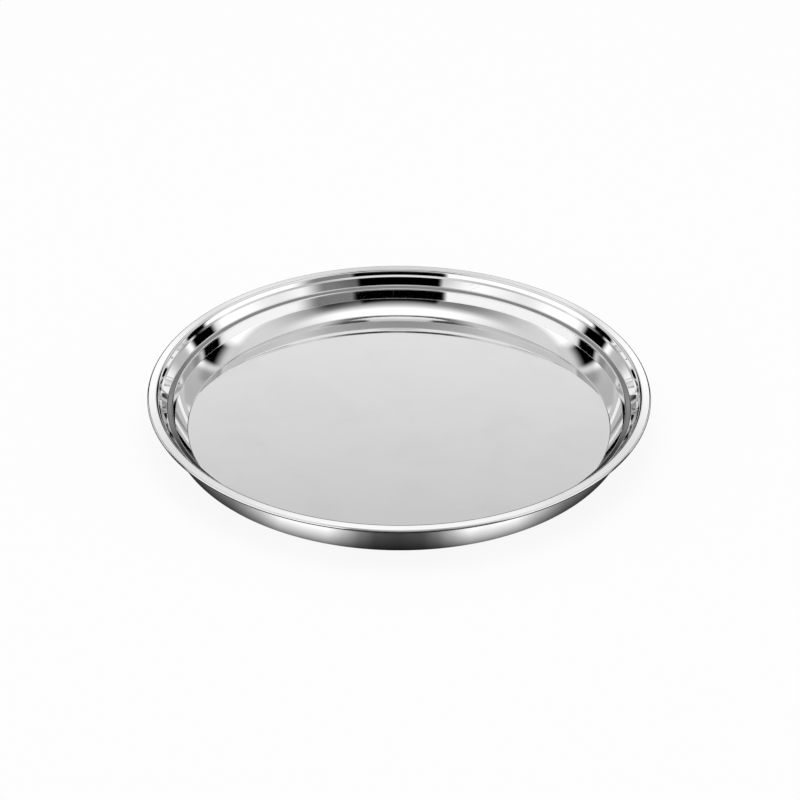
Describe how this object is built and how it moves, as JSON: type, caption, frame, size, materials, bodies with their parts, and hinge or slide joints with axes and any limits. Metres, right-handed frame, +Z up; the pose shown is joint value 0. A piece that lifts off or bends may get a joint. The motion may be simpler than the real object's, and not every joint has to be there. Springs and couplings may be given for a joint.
{
  "type": "serving platter",
  "caption": "Round double-walled steel serving platter with a flat hemmed rim, a stepped inner wall, a large cove and a flat serving panel.",
  "frame": {"origin": "centre of the flat foot, on the surface that the platter stands on", "axes": "+Z up along the platter's axis of symmetry; X and Y lie in the foot's plane and are alike"},
  "size_m": [0.3, 0.3, 0.0257],
  "materials": {
    "mirror_steel": "mirror-polished",
    "polished_steel": "polished"
  },
  "bodies": {
    "root": {"inner_pan": "mirror_steel", "outer_shell": "polished_steel"}
  },
  "joints": []
}
